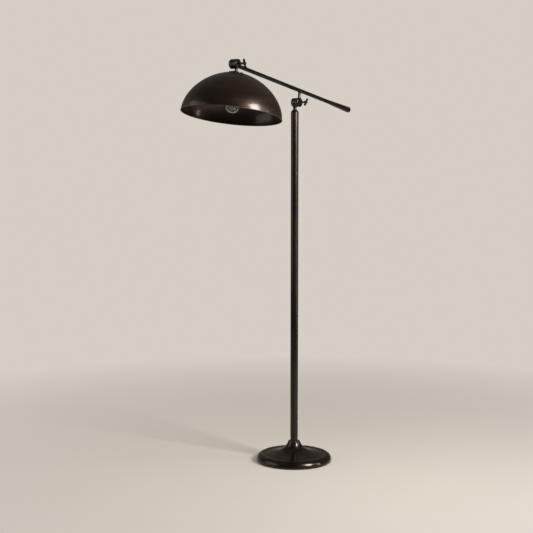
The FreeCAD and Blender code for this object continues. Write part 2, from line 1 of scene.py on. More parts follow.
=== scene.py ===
"""Finish and studio setting of a bridge floor lamp, laid out as an add-on.

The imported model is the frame: every solid keeps its place, and this script gives it its finish.
It also turns a rounder base, casts fuller wing screws, rolls the threads of the lamp holder and
the bulb, and sets the stage. Metres, +Z up. The shade is at -X and the wing screws point to -Y.
"""

import json
import math

import bmesh
import bpy
from bpy.props import FloatProperty, FloatVectorProperty, PointerProperty
from mathutils import Matrix, Vector


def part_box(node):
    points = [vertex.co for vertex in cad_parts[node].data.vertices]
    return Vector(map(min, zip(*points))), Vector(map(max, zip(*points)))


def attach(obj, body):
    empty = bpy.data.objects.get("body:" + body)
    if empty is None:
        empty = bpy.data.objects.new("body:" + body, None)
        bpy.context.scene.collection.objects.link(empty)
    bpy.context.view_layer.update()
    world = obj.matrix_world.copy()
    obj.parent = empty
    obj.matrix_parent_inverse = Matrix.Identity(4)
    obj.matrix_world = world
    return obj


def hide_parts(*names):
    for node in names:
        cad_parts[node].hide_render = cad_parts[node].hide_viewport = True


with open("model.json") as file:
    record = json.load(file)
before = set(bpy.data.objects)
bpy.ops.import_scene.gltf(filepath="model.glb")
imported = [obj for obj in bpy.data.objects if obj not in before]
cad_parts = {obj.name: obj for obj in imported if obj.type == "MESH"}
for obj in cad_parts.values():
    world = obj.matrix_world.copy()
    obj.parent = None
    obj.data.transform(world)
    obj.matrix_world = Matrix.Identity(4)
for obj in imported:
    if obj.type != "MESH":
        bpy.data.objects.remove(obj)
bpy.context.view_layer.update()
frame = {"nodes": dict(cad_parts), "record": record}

bl_info = {
    "name": "Bridge Floor Lamp",
    "version": (1, 0, 0),
    "blender": (4, 5, 0),
    "location": "View3D > Sidebar > Floor Lamp",
    "description": "Oil-rubbed bronze finish, threads and studio for a bridge floor lamp",
    "category": "Object",
}

JOINTS = {joint["name"]: joint for joint in frame["record"]["behaviour"]["joints"]}
HEAD = Vector(JOINTS["shade_tilt"]["pos_m"])
KNUCKLE = Vector(JOINTS["arm_tilt"]["pos_m"])
ARM_TILT = math.radians(10.0)               # the arm's shade end stands this far above level
ON_Y = (math.radians(90), 0.0, 0.0)         # turn of a frame whose Z runs along the knuckles' axes


# Settings that a user would change

def colour(name, text, value):
    """A colour that can be set."""
    return FloatVectorProperty(name=name, description=text, default=value, size=3, subtype="COLOR",
                               min=0.0, max=1.0)


def length(name, text, value):
    """A length in metres that can be set."""
    return FloatProperty(name=name, description=text, default=value, min=0.0, unit="LENGTH",
                         subtype="DISTANCE")


def share(name, text, value):
    """A share between 0 and 1 that can be set."""
    return FloatProperty(name=name, description=text, default=value, min=0.0, max=1.0,
                         subtype="FACTOR")


class BronzeSettings(bpy.types.PropertyGroup):
    """Oil-rubbed bronze of the lamp's metal."""

    deep: colour("Deep", "Darkest patches of the finish", (0.0048, 0.0027, 0.0017))
    body: colour("Body", "Main brown of the finish", (0.0180, 0.0094, 0.0058))
    warm: colour("Warm", "Red-brown patches where the finish is thin", (0.0520, 0.0250, 0.0145))
    rubbed: colour("Rubbed", "Metal that shows along rubbed edges", (0.19, 0.115, 0.075))
    metal: share("Metallic", "How far the finish behaves as bare metal", 0.7)
    gloss: share("Roughness", "Mean roughness of the finish", 0.3)
    specular: share("Specular", "Strength of the finish's own reflections", 0.3)
    coat: share("Lacquer", "Weight of the clear lacquer", 0.42)
    coat_rough: share("Lacquer roughness", "Roughness of the clear lacquer", 0.19)
    patch: length("Patch size", "Typical width of a patch of the mottling", 0.055)


class HolderSettings(bpy.types.PropertyGroup):
    """Lamp holder, bulb and their threads."""

    pitch: length("Thread pitch", "Rise of the thread in one turn", 0.0036)
    depth: length("Thread depth", "Height of the rolled thread", 0.0009)
    filament: colour("Filament", "Colour of the filament rods", (0.62, 0.36, 0.13))
    glass_tint: colour("Glass", "Tint of the bulb's glass", (0.97, 0.98, 0.98))
    brass: colour("Brass", "Brass of the holder", (0.72, 0.50, 0.23))


class StageSettings(bpy.types.PropertyGroup):
    """Studio round the lamp."""

    floor: colour("Floor", "Pale floor", (0.66, 0.62, 0.56))
    wall: colour("Wall", "Pale backdrop, as the camera sees it", (0.67, 0.62, 0.565))
    radius: length("Stage radius", "Distance from the lamp to the backdrop", 9.0)
    cove: length("Cove radius", "Radius of the bend between floor and backdrop", 4.0)
    height: length("Backdrop height", "Height of the backdrop", 6.0)
    sky: FloatProperty(name="World strength", description="Strength of the even light",
                       default=0.15, min=0.0)
    key: FloatProperty(name="Key light", description="Power of the large soft light",
                       default=80.0, min=0.0, unit="POWER")
    edge: FloatProperty(name="Edge light", description="Power of the tall narrow light on the right",
                        default=20.0, min=0.0, unit="POWER")
    fill: FloatProperty(name="Fill light", description="Power of the light on the left",
                        default=22.0, min=0.0, unit="POWER")


class CameraSettings(bpy.types.PropertyGroup):
    """Camera at the photograph's viewing angle."""

    place: FloatVectorProperty(name="Place", description="Where the camera stands", size=3,
                               default=(-3.782, -2.708, 1.2347), subtype="TRANSLATION",
                               unit="LENGTH")
    pitch: FloatProperty(name="Pitch", description="How far the camera looks down",
                         default=math.radians(5.172), subtype="ANGLE", unit="ROTATION")
    turn: FloatProperty(name="Heading", description="Compass heading of the view",
                        default=math.radians(-52.98), subtype="ANGLE", unit="ROTATION")
    lens: FloatProperty(name="Focal length", description="Focal length in millimetres",
                        default=76.58, min=1.0)
    sensor: FloatProperty(name="Sensor width", description="Width of the sensor in millimetres",
                          default=36.0, min=1.0)


# Material helpers

class Tree:
    """Short way to write a material's nodes."""

    def __init__(self, name):
        self.material = bpy.data.materials.new(name)
        self.material.use_nodes = True
        self.nodes = self.material.node_tree.nodes
        self.links = self.material.node_tree.links
        self.nodes.clear()
        self.out = self.nodes.new("ShaderNodeOutputMaterial")

    def add(self, kind, **values):
        node = self.nodes.new("ShaderNode" + kind)
        for key, value in values.items():
            if hasattr(node, key):
                setattr(node, key, value)
            else:
                node.inputs[key].default_value = value
        return node

    def put(self, target, value):
        """Gives an input its value: a link, a number or a colour."""
        if isinstance(value, bpy.types.NodeSocket):
            self.links.new(value, target)
        elif isinstance(value, (int, float)):
            target.default_value = value
        else:
            target.default_value = (*value, 1.0)

    def ramp(self, factor, *stops, smooth=False):
        node = self.add("ValToRGB")
        if smooth:
            node.color_ramp.interpolation = "EASE"
        items = node.color_ramp.elements
        while len(items) < len(stops):
            items.new(0.5)
        for item, (place, tone) in zip(items, stops):
            item.position = place
            item.color = (*tone, 1.0)
        self.links.new(factor, node.inputs[0])
        return node.outputs[0]

    def noise(self, where, scale, detail=3.0, rough=0.55, distort=0.0):
        node = self.add("TexNoise", Scale=scale, Detail=detail, Roughness=rough, Distortion=distort)
        self.links.new(where, node.inputs["Vector"])
        return node.outputs["Fac"]

    def mix(self, factor, a, b):
        """Blend of two colours. The mixing node's colour sockets are its inputs 6 and 7."""
        node = self.add("Mix", data_type="RGBA")
        for k, value in ((0, factor), (6, a), (7, b)):
            self.put(node.inputs[k], value)
        return node.outputs[2]

    def math(self, kind, a, b=None, clamp=False):
        node = self.add("Math", operation=kind, use_clamp=clamp)
        self.put(node.inputs[0], a)
        if b is not None:
            self.put(node.inputs[1], b)
        return node.outputs[0]

    def fit(self, value, low, high, to_low=0.0, to_high=1.0):
        node = self.add("MapRange", clamp=True)
        self.links.new(value, node.inputs["Value"])
        for name, amount in (("From Min", low), ("From Max", high), ("To Min", to_low),
                             ("To Max", to_high)):
            node.inputs[name].default_value = amount
        return node.outputs["Result"]

    def bump(self, height, distance, strength=1.0, under=None):
        node = self.add("Bump", Distance=distance, Strength=strength)
        self.links.new(height, node.inputs["Height"])
        if under is not None:
            self.links.new(under, node.inputs["Normal"])
        return node.outputs["Normal"]

    def place(self, origin=(0, 0, 0), turn=(0, 0, 0), stretch=(1, 1, 1)):
        """Coordinates of the piece, seen from a frame of its own."""
        coords = self.add("TexCoord").outputs["Object"]
        node = self.add("Mapping", vector_type="TEXTURE")
        node.inputs["Location"].default_value = origin
        node.inputs["Rotation"].default_value = turn
        node.inputs["Scale"].default_value = stretch
        self.links.new(coords, node.inputs["Vector"])
        return node.outputs["Vector"]

    def worn(self, distance, edge, width, most=1.0):
        """Share of bare metal, which grows to its most over this width before an edge."""
        return self.fit(distance, edge - width, edge, 0.0, most)

    def polar(self, where):
        """Distance from the frame's Z axis, and height along it."""
        parts = self.add("SeparateXYZ")
        self.links.new(where, parts.inputs[0])
        x2 = self.math("MULTIPLY", parts.outputs[0], parts.outputs[0])
        y2 = self.math("MULTIPLY", parts.outputs[1], parts.outputs[1])
        return self.math("SQRT", self.math("ADD", x2, y2)), parts.outputs[2]

    def shade(self, colour_in, metallic=0.0, rough=0.5, normal=None, **more):
        shader = self.add("BsdfPrincipled")
        values = {"Base Color": colour_in, "Metallic": metallic, "Roughness": rough, **more}
        for name, value in values.items():
            self.put(shader.inputs[name], value)
        if normal is not None:
            self.links.new(normal, shader.inputs["Normal"])
        self.links.new(shader.outputs[0], self.out.inputs["Surface"])
        return self.material


def scaled(tone, factor):
    """A tone made darker or lighter."""
    return tuple(c * factor for c in tone)


# Tones of the smaller finishes
FELT = (0.040, 0.034, 0.030)
CAST_IRON = (0.055, 0.053, 0.050)
BLACK_PLASTIC = (0.012, 0.011, 0.010)
ZINC = (0.56, 0.56, 0.54)
DARK_STEEL = (0.10, 0.078, 0.062)
RED_FIBRE = (0.055, 0.028, 0.018)
PHENOLIC = (0.016, 0.013, 0.012)
NICKEL = (0.74, 0.73, 0.70)
STEM_CLEAR, STEM_MILKY = (0.93, 0.95, 0.95), (0.78, 0.81, 0.82)


# Grain of the bronze: noise scales in turns to the metre, and depths in metres
CLOUD_DENSITY, STREAK_DENSITY = 0.5, 1.9    # in one patch
CLOUD_SHARE, STREAK_SHARE = 0.68, 0.32      # of the mottling
DEEP_AT, BODY_AT, WARM_AT = 0.32, 0.50, 0.74    # levels of the mottling where each tone is full
SPECK_SCALE, GRAIN_SCALE, WOBBLE_SCALE = 900.0, 260.0, 14.0
GRAIN_DEPTH, LINE_DEPTH = 0.00006, 0.00003
WOBBLE = 0.0016                             # how far the lathe lines wander
LINE_SLANT = 0.7                            # of the height, so that upright walls get lines too


def bronze(name, origin=(0, 0, 0), turn=(0, 0, 0), spun=0.0, patches=1.0, rub=None, painted_light_scale=1.0,
           along=(1, 1, 1), rougher=0.0):
    """Oil-rubbed bronze: cloudy brown with red-brown patches and fine specks. Lathe lines run
    round the frame's axis where spun, their pitch, is over 0, and metal shows where rub says.
    Each part's copy is darkened or lightened by painted_light_scale: painted shade and painted
    light for how the lamps fall on that part."""
    s = bpy.context.scene.lamp_bronze
    t = Tree(name)
    local = t.place(origin, turn)
    cloudy = t.place(origin, turn, along)
    clouds = t.noise(cloudy, patches / s.patch * CLOUD_DENSITY, detail=5.0, rough=0.62,
                     distort=0.6)
    streaks = t.noise(cloudy, patches / s.patch * STREAK_DENSITY, detail=4.0, rough=0.6,
                      distort=0.3)
    specks = t.noise(local, SPECK_SCALE, detail=2.0, rough=0.5)
    level = t.math("ADD", t.math("MULTIPLY", clouds, CLOUD_SHARE),
                   t.math("MULTIPLY", streaks, STREAK_SHARE))
    # All three tones are scaled by painted_light_scale: painted shade on parts set below 1, painted light
    # on parts set above 1
    tone = t.ramp(level, (DEEP_AT, scaled(s.deep, painted_light_scale)), (BODY_AT, scaled(s.body, painted_light_scale)),
                  (WARM_AT, scaled(s.warm, painted_light_scale)), smooth=True)
    tone = t.mix(t.fit(specks, 0.52, 0.72, 0.0, 0.2), tone, scaled(s.deep, 0.45))
    if rub is not None:
        worn = t.math("MULTIPLY", rub(t, local), t.fit(streaks, 0.35, 0.62, 0.15, 1.0))
        tone = t.mix(worn, tone, s.rubbed)
    rough = t.fit(t.math("ADD", clouds, t.math("MULTIPLY", specks, 0.35)), 0.45, 0.95,
                  s.gloss + rougher - 0.07, s.gloss + rougher + 0.12)
    grain = t.math("ADD", t.math("MULTIPLY", t.noise(local, GRAIN_SCALE, 3.0), 0.6),
                   t.math("MULTIPLY", specks, 0.4))
    normal = t.bump(grain, GRAIN_DEPTH, 0.5)
    if spun > 0.0:
        r, z = t.polar(local)
        wobble = t.math("MULTIPLY", t.noise(local, WOBBLE_SCALE, 2.0), WOBBLE)
        line = t.math("ADD", t.math("ADD", r, t.math("MULTIPLY", z, LINE_SLANT)), wobble)
        lines = t.math("SINE", t.math("MULTIPLY", line, 2 * math.pi / spun))
        normal = t.bump(lines, LINE_DEPTH, 0.35, normal)
    return t.shade(tone, s.metal, rough, normal, **{"Specular IOR Level": s.specular,
                                                    "Coat Weight": s.coat,
                                                    "Coat Roughness": s.coat_rough})


def plain_metal(name, tone, rough, scale=400.0, worn=0.5):
    """Plated or bright metal with fine scratches and dull patches."""
    t = Tree(name)
    where = t.place()
    patch = t.noise(where, scale * 0.2, 3.0)
    scratch = t.noise(t.place(stretch=(1.0, 1.0, 0.12)), scale, 3.0)
    shaded = t.mix(t.fit(patch, 0.35, 0.7), tone, scaled(tone, worn))
    return t.shade(shaded, 1.0, t.fit(scratch, 0.3, 0.7, rough - 0.08, rough + 0.14),
                   t.bump(scratch, 0.00005, 0.4))


def zinc():
    """Zinc-plated steel of the hidden nuts and washers, made once for all of them."""
    return bpy.data.materials.get("zinc") or plain_metal("zinc", ZINC, rough=0.34)


def moulded(name, tone, rough, grain=900.0, depth=0.00004, contrast=0.6):
    """Moulded plastic or fibre with a fine grain."""
    t = Tree(name)
    where = t.place()
    fine = t.noise(where, grain, 3.0)
    broad = t.noise(where, grain * 0.06, 3.0)
    shaded = t.mix(t.fit(broad, 0.35, 0.7), tone, scaled(tone, contrast))
    return t.shade(shaded, 0.0, t.fit(broad, 0.3, 0.7, rough - 0.06, rough + 0.08),
                   t.bump(fine, depth, 0.5))


def dress(material, *nodes):
    """Gives a finish to CAD nodes."""
    for node in nodes:
        slots = frame["nodes"][node].data.materials
        if not slots:
            slots.append(material)
        for k in range(len(slots)):
            slots[k] = material


def mesh_piece(name, points, faces, material, body):
    """Smooth piece that rides on a body."""
    mesh = bpy.data.meshes.new(name)
    mesh.from_pydata([tuple(p) for p in points], [], faces)
    mesh.validate()
    for face in mesh.polygons:
        face.use_smooth = True
    mesh.materials.append(material)
    piece = bpy.data.objects.new(name, mesh)
    bpy.context.collection.objects.link(piece)
    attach(piece, body)
    return piece


# Places round the shade's own axis

def shade_point(r, turn, drop):
    """Point at a radius and a turn round the shade's axis, this far under the head's axis."""
    local = Vector((r * math.cos(turn), r * math.sin(turn), -drop))
    return Matrix.Rotation(ARM_TILT, 3, "Y") @ local + HEAD


def seen_from_shade(node):
    """A node's corners in the shade's own frame, where Z is its axis and the head is the origin."""
    back = Matrix.Rotation(-ARM_TILT, 3, "Y")
    return [back @ (Vector(v.co) - HEAD) for v in frame["nodes"][node].data.vertices]


def drop_of(node):
    """Nearest and farthest distance of a node under the head's axis, along the shade's axis."""
    drops = [-p.z for p in seen_from_shade(node)]
    return min(drops), max(drops)


def widest(node):
    """Largest distance of a node from the shade's axis."""
    return max(math.hypot(p.x, p.y) for p in seen_from_shade(node))


def grid_faces(rows, columns):
    """Quads of a tube whose columns close round."""
    return [(r * columns + c, r * columns + (c + 1) % columns, (r + 1) * columns + (c + 1) % columns,
             (r + 1) * columns + c) for r in range(rows - 1) for c in range(columns)]


def threaded(radius, drop, pitch, depth, angle):
    """Radius of a rolled thread at a distance along its axis and an angle round it."""
    wave = math.cos(2 * math.pi * drop / pitch - angle)
    return radius - depth * (0.5 - 0.5 * wave)


THREAD_COLUMNS = 72
MOUTH = 0.97            # share of a threaded sleeve's height from which its mouth widens


def rolled(radius, top, low, rows, pitch, depth, fade, flare=0.0):
    """Points of a rolled thread round the shade's axis, row by row from top to low. It runs out
    over one part in fade of the height at both ends, and its mouth widens by flare."""
    points = []
    for row in range(rows):
        down = row / (rows - 1)
        drop = top + (low - top) * down
        ease = min(1.0, fade * min(down, 1.0 - down))
        wider = max(0.0, down - MOUTH) / (1.0 - MOUTH) * flare
        for column in range(THREAD_COLUMNS):
            angle = 2 * math.pi * column / THREAD_COLUMNS
            r = threaded(radius, drop, pitch, depth * ease, angle)
            points.append(shade_point(r + wider, angle, drop))
    return points


def between(t, before, start, end, after):
    """Number at a share t of the way from start to end, on a cubic that the outer two steer."""
    square = 2 * before - 5 * start + 4 * end - after
    cube = 3 * (start - end) + after - before
    return start + 0.5 * t * (end - before + t * (square + t * cube))


def eased(rows, parts):
    """Rows of numbers with this many steps between neighbours, on a smooth line through them."""
    fine = []
    for k in range(len(rows) - 1):
        before, after = rows[max(k - 1, 0)], rows[min(k + 2, len(rows) - 1)]
        for step in range(parts):
            fine.append(tuple(between(step / parts, *four)
                              for four in zip(before, rows[k], rows[k + 1], after)))
    return fine + [rows[-1]]


def lathe(profile, columns, place, ring=False):
    """Points and faces of a turned body. A ring's profile closes on itself, and other
    profiles get a flat cap at both ends."""
    points = [place(Vector((r * math.cos(2 * math.pi * c / columns),
                            r * math.sin(2 * math.pi * c / columns), z)))
              for r, z in profile for c in range(columns)]
    faces = grid_faces(len(profile), columns)
    last = (len(profile) - 1) * columns
    if ring:
        faces += [(last + c, last + (c + 1) % columns, (c + 1) % columns, c) for c in range(columns)]
    else:
        faces += [tuple(reversed(range(columns))), tuple(range(last, last + columns))]
    return points, faces


def outward(mesh):
    """Turns every face to the outside."""
    shell = bmesh.new()
    shell.from_mesh(mesh)
    bmesh.ops.recalc_face_normals(shell, faces=shell.faces)
    shell.to_mesh(mesh)
    shell.free()


def welded(name, shells, material, body, sharp):
    """One piece from closed shells that run into each other."""
    solids = []
    for points, faces in shells:
        mesh = bpy.data.meshes.new(name + "_shell")
        mesh.from_pydata([tuple(p) for p in points], [], faces)
        outward(mesh)
        solid = bpy.data.objects.new(name + "_shell", mesh)
        bpy.context.collection.objects.link(solid)
        solids.append(solid)
    for other in solids[1:]:
        cut = solids[0].modifiers.new("weld", "BOOLEAN")
        cut.operation = "UNION"
        cut.solver = "EXACT"
        cut.object = other
    bpy.context.view_layer.update()
    graph = bpy.context.evaluated_depsgraph_get()
    mesh = bpy.data.meshes.new_from_object(solids[0].evaluated_get(graph))
    for solid in solids:
        bpy.data.objects.remove(solid)
    mesh.materials.clear()
    mesh.materials.append(material)
    for face in mesh.polygons:
        face.use_smooth = True
        face.material_index = 0
    mesh.set_sharp_from_angle(angle=math.radians(sharp))
    piece = bpy.data.objects.new(name, mesh)
    bpy.context.collection.objects.link(piece)
    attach(piece, body)
    return piece


# Operators

class LAMP_OT_base(bpy.types.Operator):
    """Spin the base's shell, seat its cord bush and finish the weight, the pad and the nut"""

    bl_idname = "lamp.base"
    bl_label = "Base"

    round_radius = 0.025    # of the shoulder
    crest = 0.132           # radius at which the shoulder is highest
    rim_top = 0.032         # height of the shoulder
    bell = 0.02425          # radius of the bell's end
    bell_top = 0.084        # height of the bell's end
    hole = 0.0160           # radius of the hole for the pole
    wall = 0.0012           # of the sheet
    edge = 0.0006           # how far the bell's edge is broken
    dish_run = 0.008        # the dish starts this far inside the crest
    dish_drop = 0.002       # and this far under it
    lead_in = (0.004, 0.0006)   # a point before the dish: run from its start, drop from the crest
    # Foot of the shell: step in from the side, and height
    foot = ((-0.002, 0.0015), (-0.0008, 0.0030), (0.0, 0.005))
    # Dish from its start to the bell's end: share of the run inwards, and share of the rise
    dish = ((0, 0), (0.24, 0.075), (0.541, 0.2), (0.742, 0.37), (0.832, 0.49), (0.922, 0.69),
            (0.972, 0.86), (0.994, 0.985))
    # Cord bush, all round its section: radius, and height over the wall's outer face
    bush_line = ((0.0035, -0.005), (0.0055, -0.005), (0.0055, -0.0012), (0.007, -0.0012),
                 (0.007, 0.0011), (0.00682, 0.00155), (0.0065, 0.0019), (0.0061, 0.002),
                 (0.0048, 0.002), (0.0041, 0.0017), (0.0037, 0.0012), (0.0035, 0.0006))

    def outline(self):
        """Outer line of the spun shell, from its foot to the hole for the pole."""
        side, low = self.crest + self.round_radius, self.rim_top - self.round_radius
        line = [(side + step, z) for step, z in self.foot]
        steps = 14
        for k in range(steps + 1):
            turn = math.radians(90 * k / steps)
            line.append((self.crest + self.round_radius * math.cos(turn),
                         low + self.round_radius * math.sin(turn)))
        start, bottom = self.crest - self.dish_run, self.rim_top - self.dish_drop
        line.append((start + self.lead_in[0], self.rim_top - self.lead_in[1]))
        line += eased([(start - (start - self.bell) * run, bottom + (self.bell_top - bottom) * rise)
                       for run, rise in self.dish], 5)
        return line + [(self.bell - self.edge, self.bell_top), (self.hole, self.bell_top)]

    def shell(self, material):
        """Spun sheet of one wall all along its outline, with a broken edge at the hole."""
        line = self.outline()
        inner = []
        for k, (r, z) in enumerate(line):
            (r0, z0), (r1, z1) = line[max(k - 1, 0)], line[min(k + 1, len(line) - 1)]
            span = math.hypot(r1 - r0, z1 - z0)
            inner.append((r - self.wall * (z1 - z0) / span, z + self.wall * (r1 - r0) / span))
        inner[-1] = (line[-1][0], self.bell_top - self.wall)
        points, faces = lathe(line + inner[::-1], 160, Vector, ring=True)
        piece = mesh_piece("spun_base", points, faces, material, "stand")
        outward(piece.data)
        piece.data.set_sharp_from_angle(angle=math.radians(40))
        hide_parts("base_shell")

    def bush(self, material):
        """Cord bush with a rounded lip, square to the shoulder at the height of its hole."""
        height = sum(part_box("cord_bush")[k][2] for k in (0, 1)) / 2
        lean = math.asin((height - self.rim_top + self.round_radius) / self.round_radius)
        turn = Matrix.Rotation(math.radians(90) - lean, 3, "Y")
        centre = Vector((self.crest, 0.0, self.rim_top - self.round_radius))

        def place(p):
            return centre + turn @ (p + Vector((0.0, 0.0, self.round_radius)))

        points, faces = lathe(self.bush_line, 48, place, ring=True)
        piece = mesh_piece("cord_bush_seated", points, faces, material, "stand")
        outward(piece.data)
        piece.data.set_sharp_from_angle(angle=math.radians(50))
        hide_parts("cord_bush")

    def execute(self, context):
        def rubbed(t, local):
            """Metal shows faintly along the shoulder's crest, and more round the bell's lip."""
            r, z = t.polar(local)
            shoulder = t.math("MULTIPLY", t.worn(r, self.crest, 0.006),
                              t.worn(z, self.rim_top, 0.005, 0.12))
            lip = t.math("MULTIPLY", t.worn(r, self.bell, -0.0026),
                         t.worn(z, self.bell_top, 0.004, 0.6))
            return t.math("ADD", shoulder, lip, clamp=True)

        self.shell(bronze("bronze_base", spun=0.0021, patches=1.1, rub=rubbed, rougher=-0.05))
        dress(moulded("felt", FELT, rough=0.95, grain=1500.0, depth=0.0006, contrast=0.55), "floor_pad")
        dress(moulded("cast_iron", CAST_IRON, rough=0.62, grain=420.0, depth=0.0004, contrast=0.5),
              "base_weight")
        self.bush(moulded("bush_plastic", BLACK_PLASTIC, rough=0.42))
        dress(zinc(), "base_washer", "base_nut", "base_nipple")
        return {"FINISHED"}


class LAMP_OT_pole(bpy.types.Operator):
    """Finish the pole, its cap and its plug"""

    bl_idname = "lamp.pole"
    bl_label = "Pole"

    def execute(self, context):
        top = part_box("pole_cap")[1][2]

        def rubbed(t, local):
            return t.worn(t.polar(local)[1], top, 0.0035, 0.12)

        # The pole and its cap get darker copies of the bronze: painted shade
        dress(bronze("bronze_pole", patches=1.3, along=(1.0, 1.0, 5.0), painted_light_scale=0.8), "pole_tube")
        dress(bronze("bronze_cap", patches=2.0, rub=rubbed, painted_light_scale=0.7, spun=0.0012), "pole_cap")
        dress(zinc(), "pole_plug")
        return {"FINISHED"}


class LAMP_OT_knuckles(bpy.types.Operator):
    """Finish the discs and washers of both knuckles, and the nut under the lower one"""

    bl_idname = "lamp.knuckles"
    bl_label = "Knuckles"

    def execute(self, context):
        radius = (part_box("arm_disc")[1][0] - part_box("arm_disc")[0][0]) / 2

        def rim_rub(t, local):
            return t.worn(t.polar(local)[0], radius, 0.0016, 0.16)

        # Both knuckles get a darker copy of the bronze: painted shade
        for name, centre, nodes in (("bronze_knuckle", KNUCKLE, ("swivel_knuckle", "arm_disc")),
                                    ("bronze_head_knuckle", HEAD, ("head_disc", "shade_disc"))):
            dress(bronze(name, tuple(centre), ON_Y, spun=0.0009, patches=2.2, rub=rim_rub, painted_light_scale=0.6),
                  *nodes)
        dress(moulded("fibre", RED_FIBRE, rough=0.6, grain=700.0, depth=0.0001),
              "tilt_friction_washer", "shade_friction_washer")
        dress(plain_metal("dark_washer", DARK_STEEL, rough=0.36), "swivel_washer",
              "tilt_screw_washer", "shade_screw_washer")
        dress(zinc(), "swivel_spring_washer", "swivel_nut")
        return {"FINISHED"}


class LAMP_OT_arm(bpy.types.Operator):
    """Finish the arm, its post and its counterweight"""

    bl_idname = "lamp.arm"
    bl_label = "Arm"

    # Middle of the counterweight's end from the pole's axis: along the arm, aside, and above it
    tail = Vector((0.373, KNUCKLE.y, 0.0485))

    def execute(self, context):
        tail = Vector((0.0, 0.0, KNUCKLE.z)) + Matrix.Rotation(ARM_TILT, 3, "Y") @ self.tail
        along = (0, math.radians(90) + ARM_TILT, 0)

        def end_rub(t, local):
            return t.worn(t.polar(local)[1], 0.0, 0.006, 0.5)

        # The arm, the counterweight and the posts get darker copies of the bronze: painted shade
        dress(bronze("bronze_arm", tuple(tail), along, patches=1.6, along=(1.0, 1.0, 4.0), painted_light_scale=0.75),
              "arm_tube")
        dress(bronze("bronze_counterweight", tuple(tail), along, patches=1.8, rub=end_rub,
                     along=(1.0, 1.0, 2.5), painted_light_scale=0.9, spun=0.0011), "counterweight")
        dress(bronze("bronze_post", tuple(KNUCKLE), patches=2.2, painted_light_scale=0.6), "arm_post", "shade_post")
        return {"FINISHED"}


class LAMP_OT_wing_screws(bpy.types.Operator):
    """Cast the two wing screws and finish them"""

    bl_idname = "lamp.wing_screws"
    bl_label = "Wing Screws"

    # Turned stalk in millimetres: radius, and place along the screw's axis from its end
    stalk = ((2.0, -5.0), (3.0, -4.0), (3.0, 29.2), (6.25, 29.2), (6.25, 30.3), (4.9, 31.5), (4.2, 32.3),
             (3.9, 33.6), (3.9, 46.0), (4.3, 47.2), (5.3, 48.4), (5.8, 49.4), (5.8, 58.4), (5.4, 60.2),
             (4.3, 61.2), (2.7, 61.6))
    # A wing in millimetres: reach from the axis, half width along it, half thickness, and its middle
    blade = ((1.0, 4.2, 3.4, 55.2), (5.0, 4.2, 3.3, 55.2), (8.0, 4.3, 3.0, 55.5), (11.0, 5.0, 3.0, 55.9),
             (13.0, 5.4, 3.2, 56.0), (15.0, 4.9, 3.0, 56.2), (16.6, 3.7, 2.4, 56.4), (17.5, 2.2, 1.6, 56.4),
             (18.0, 0.5, 0.4, 56.4))
    squareness = 2.5        # power of a wing's section, of which 2 is an ellipse
    sharp = 38              # degrees at which an edge stays sharp
    depth = 0.019           # a screw's end lies this far behind its joint's middle
    # Node, body, turn of the wings and lean of the axis in degrees, and joint
    screws = (("tilt_wing_screw", "tilt_screw", 36.0, 0.0, KNUCKLE),
              ("shade_wing_screw", "shade_screw", -30.0, 10.0, HEAD))

    def wing(self, side, place):
        """One wing, on this side of the axis, as a closed shell with a rounded section."""
        rows, columns, power = eased(self.blade, 4), 28, 2.0 / self.squareness
        points = []
        for reach, wide, thick, middle in rows:
            for c in range(columns):
                a = 2 * math.pi * c / columns
                x = math.copysign(abs(math.cos(a)) ** power, math.cos(a)) * thick
                z = math.copysign(abs(math.sin(a)) ** power, math.sin(a)) * wide + middle
                points.append(place(Vector((x, side * reach, z)) / 1000))
        last = (len(rows) - 1) * columns
        faces = grid_faces(len(rows), columns)
        return points, faces + [tuple(reversed(range(columns))), tuple(range(last, last + columns))]

    def screw(self, node, body, clock, tilt, centre, material):
        """Stalk and two wings in one casting, in place of the CAD screw."""
        turn = (Matrix.Rotation(math.radians(tilt), 3, "Y") @ Matrix.Rotation(math.radians(90), 3, "X")
                @ Matrix.Rotation(-math.radians(clock), 3, "Z"))
        foot = centre + Vector((0.0, self.depth, 0.0))

        def place(p):
            return foot + turn @ p

        stalk = lathe([(r / 1000, z / 1000) for r, z in self.stalk], 48, place)
        shells = (stalk, self.wing(1, place), self.wing(-1, place))
        piece = welded(node + "_cast", shells, material, body, self.sharp)
        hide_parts(node)

    def execute(self, context):
        tip = self.blade[-1][0] / 1000

        def tip_rub(t, local):
            return t.worn(t.polar(local)[0], tip, 0.003, 0.2)

        # The wing screws get the darkest copy of the bronze: painted shade
        for node, body, clock, tilt, centre in self.screws:
            finish = bronze("bronze_" + node, tuple(centre), ON_Y, patches=2.6, rub=tip_rub,
                            rougher=0.03, painted_light_scale=0.45)
            self.screw(node, body, clock, tilt, centre, finish)
        return {"FINISHED"}


class LAMP_OT_shade(bpy.types.Operator):
    """Finish the spun dome, the disc on its top and the nut inside"""

    bl_idname = "lamp.shade"
    bl_label = "Shade"

    hem = 0.0022            # height of the rolled hem

    def execute(self, context):
        rim = drop_of("shade_dome")[1]
        radius = widest("shade_cap")

        def hem_rub(t, local):
            return t.worn(t.polar(local)[1], self.hem - rim, -0.001, 0.75)

        def edge_rub(t, local):
            return t.worn(t.polar(local)[0], radius, 0.0022, 0.4)

        turn = (0, ARM_TILT, 0)
        # The dome gets a lighter copy of the bronze: painted light
        dress(bronze("bronze_dome", tuple(HEAD), turn, spun=0.0034, patches=0.8, rub=hem_rub, painted_light_scale=1.2,
                     along=(2.2, 2.2, 0.9), rougher=0.06), "shade_dome")
        dress(bronze("bronze_disc", tuple(HEAD), turn, spun=0.0014, patches=1.6, rub=edge_rub),
              "shade_cap")
        dress(zinc(), "shade_lock_washer", "shade_lock_nut")
        return {"FINISHED"}


